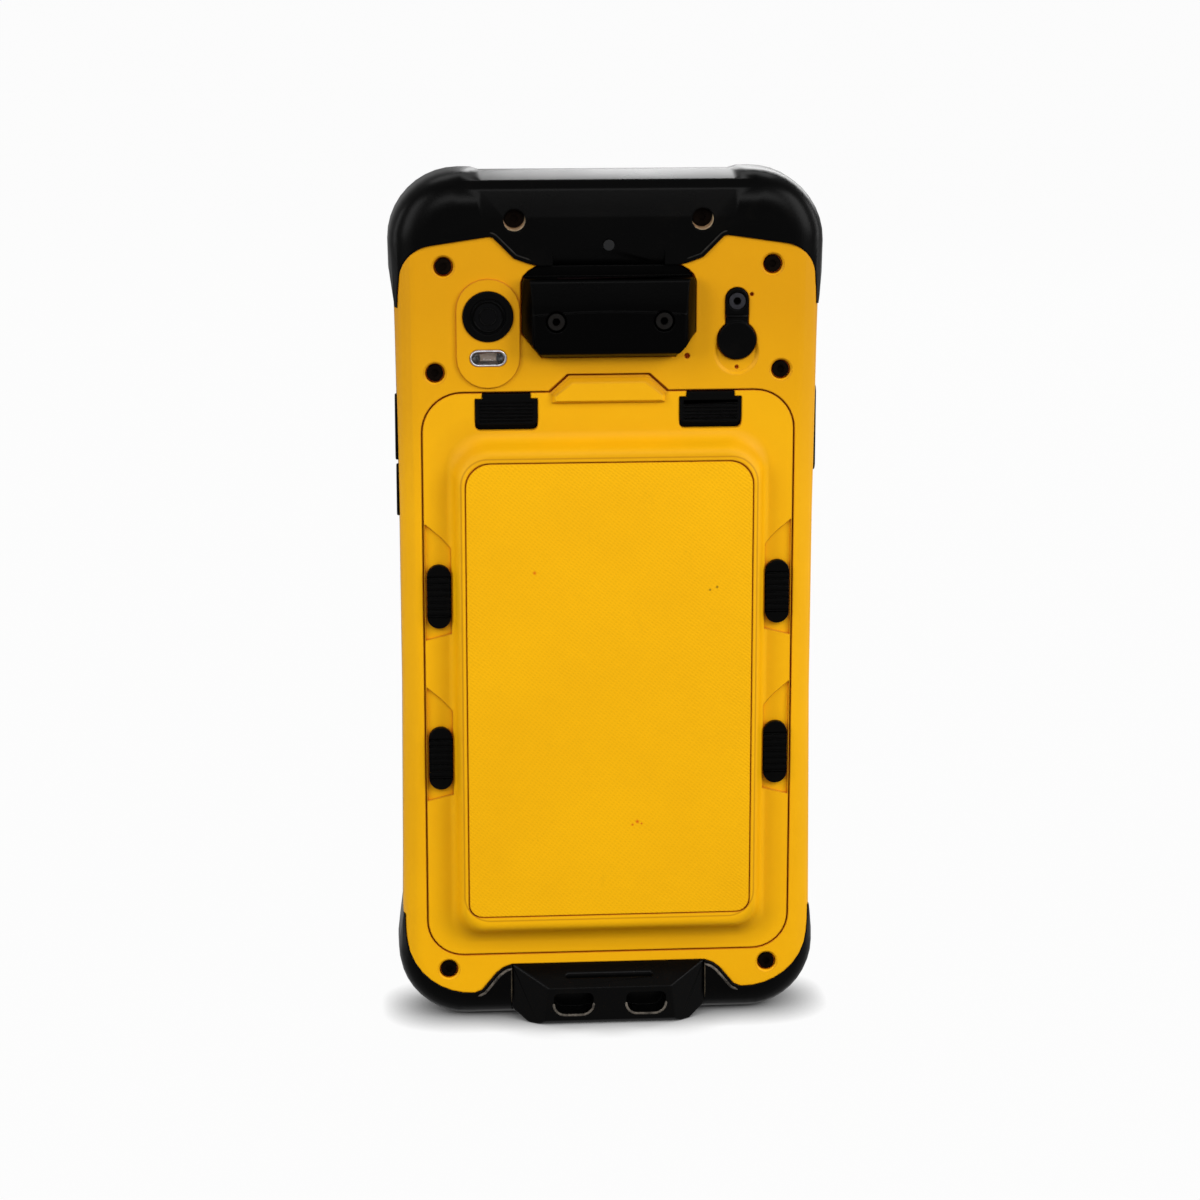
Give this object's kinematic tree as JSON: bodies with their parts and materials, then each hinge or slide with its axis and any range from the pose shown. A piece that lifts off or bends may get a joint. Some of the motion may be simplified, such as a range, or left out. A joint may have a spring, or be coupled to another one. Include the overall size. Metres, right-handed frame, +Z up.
{
  "type": "portable barcode data terminal",
  "caption": "Rugged slab-shaped handheld terminal with overmoulded bumpers, rear scanner hump, camera, port plug and a tilting battery pack held by latches and side locks.",
  "frame": {"origin": "middle of the whole part's footprint, on the plane that it stands on", "axes": "+X to the right as seen from the back, +Y from the back face to the screen, +Z up the case"},
  "size_m": [0.0798, 0.021, 0.161],
  "materials": {
    "yellow_shell": "fine satin",
    "black_plastic": "satin",
    "rubber": "soft satin",
    "steel": "satin",
    "glass_black": "polished",
    "glass_red": "polished",
    "glass_clear": "polished",
    "display_black": "gloss",
    "board_green": "solder mask",
    "gold_contact": "plated",
    "cell_wrap": "satin",
    "led_cream": "gloss",
    "vent_grey": "porous"
  },
  "bodies": {
    "case": {"rear_housing": "yellow_shell", "front_housing": "black_plastic", "strap_anchor": "black_plastic", "scanner_cover": "black_plastic", "camera_bezel": "black_plastic", "front_camera": "black_plastic", "camera_module": "black_plastic", "loudspeaker": "black_plastic", "scan_engine": "black_plastic", "top_bumper": "rubber", "bottom_bumper": "rubber", "housing_seal": "rubber", "display_gasket": "rubber", "plug_strap": "rubber", "housing_screws": "steel", "bumper_screws": "steel", "scanner_screws": "steel", "plug_screw": "steel", "usb_receptacle": "steel", "vibration_motor": "steel", "shield_cans": "steel", "earpiece": "steel", "side_switches": "steel", "display_glass": "glass_black", "camera_lens": "glass_black", "scan_window": "glass_red", "flash_lens": "glass_clear", "display_panel": "display_black", "main_board": "board_green", "keypad_board": "board_green", "battery_contacts": "gold_contact", "service_port": "gold_contact", "flash_led": "led_cream", "pressure_vent": "vent_grey"},
    "battery_pack": {"battery_cover": "yellow_shell", "battery_panel": "yellow_shell", "battery_tray": "black_plastic", "battery_cell": "cell_wrap", "battery_circuit": "board_green", "cover_seal": "rubber", "latch_spring_left": "steel", "latch_spring_right": "steel"},
    "latch_left": {"latch_left": "black_plastic"},
    "latch_right": {"latch_right": "black_plastic"},
    "lock_upper_left": {"lock_upper_left": "black_plastic"},
    "lock_upper_right": {"lock_upper_right": "black_plastic"},
    "lock_lower_left": {"lock_lower_left": "black_plastic"},
    "lock_lower_right": {"lock_lower_right": "black_plastic"},
    "port_plug": {"port_plug": "rubber"},
    "power_key": {"power_key": "rubber"},
    "scan_key": {"scan_key": "rubber"},
    "volume_rocker": {"volume_rocker": "rubber"},
    "back_key": {"back_key": "black_plastic"},
    "home_key": {"home_key": "black_plastic"},
    "menu_key": {"menu_key": "black_plastic"}
  },
  "joints": [
    {"name": "pack_tilt", "type": "hinge", "parent": "case", "child": "battery_pack", "pos_m": [0, -0.006, 0.0132], "axis": [1, 0, 0], "range_deg": [0, 35]},
    {"name": "latch_left_slide", "type": "slide", "parent": "battery_pack", "child": "latch_left", "axis": [0, 0, -1], "range_m": [0, 0.001], "stiffness_N_per_m": 400, "springref_m": -0.001, "deforming": ["latch_spring_left"]},
    {"name": "latch_right_slide", "type": "slide", "parent": "battery_pack", "child": "latch_right", "axis": [0, 0, -1], "range_m": [0, 0.001], "stiffness_N_per_m": 400, "springref_m": -0.001, "deforming": ["latch_spring_right"]},
    {"name": "lock_upper_left_slide", "type": "slide", "parent": "battery_pack", "child": "lock_upper_left", "axis": [0, 0, 1], "range_m": [0, 0.0025]},
    {"name": "lock_lower_left_slide", "type": "slide", "parent": "battery_pack", "child": "lock_lower_left", "axis": [0, 0, 1], "range_m": [0, 0.0025]},
    {"name": "lock_upper_right_slide", "type": "slide", "parent": "battery_pack", "child": "lock_upper_right", "axis": [0, 0, 1], "range_m": [0, 0.0025]},
    {"name": "lock_lower_right_slide", "type": "slide", "parent": "battery_pack", "child": "lock_lower_right", "axis": [0, 0, 1], "range_m": [0, 0.0025]},
    {"name": "plug_lift", "type": "hinge", "parent": "case", "child": "port_plug", "pos_m": [0.0235, -0.0062, 0.1344], "axis": [-1, 0, 0], "range_deg": [0, 60]},
    {"name": "power_key_press", "type": "slide", "parent": "case", "child": "power_key", "axis": [1, 0, 0], "range_m": [0, 0.0003], "stiffness_N_per_m": 900, "springref_m": -0.0003},
    {"name": "scan_key_press", "type": "slide", "parent": "case", "child": "scan_key", "axis": [1, 0, 0], "range_m": [0, 0.0003], "stiffness_N_per_m": 900, "springref_m": -0.0003},
    {"name": "volume_rock", "type": "hinge", "parent": "case", "child": "volume_rocker", "pos_m": [0.037, 0.0004, 0.1129], "axis": [0, 1, 0], "range_deg": [-1, 1], "stiffness_Nm_per_rad": 0.15},
    {"name": "back_key_press", "type": "slide", "parent": "case", "child": "back_key", "axis": [0, -1, 0], "range_m": [0, 0.0003], "stiffness_N_per_m": 900, "springref_m": -0.0003},
    {"name": "home_key_press", "type": "slide", "parent": "case", "child": "home_key", "axis": [0, -1, 0], "range_m": [0, 0.0003], "stiffness_N_per_m": 900, "springref_m": -0.0003},
    {"name": "menu_key_press", "type": "slide", "parent": "case", "child": "menu_key", "axis": [0, -1, 0], "range_m": [0, 0.0003], "stiffness_N_per_m": 900, "springref_m": -0.0003}
  ]
}
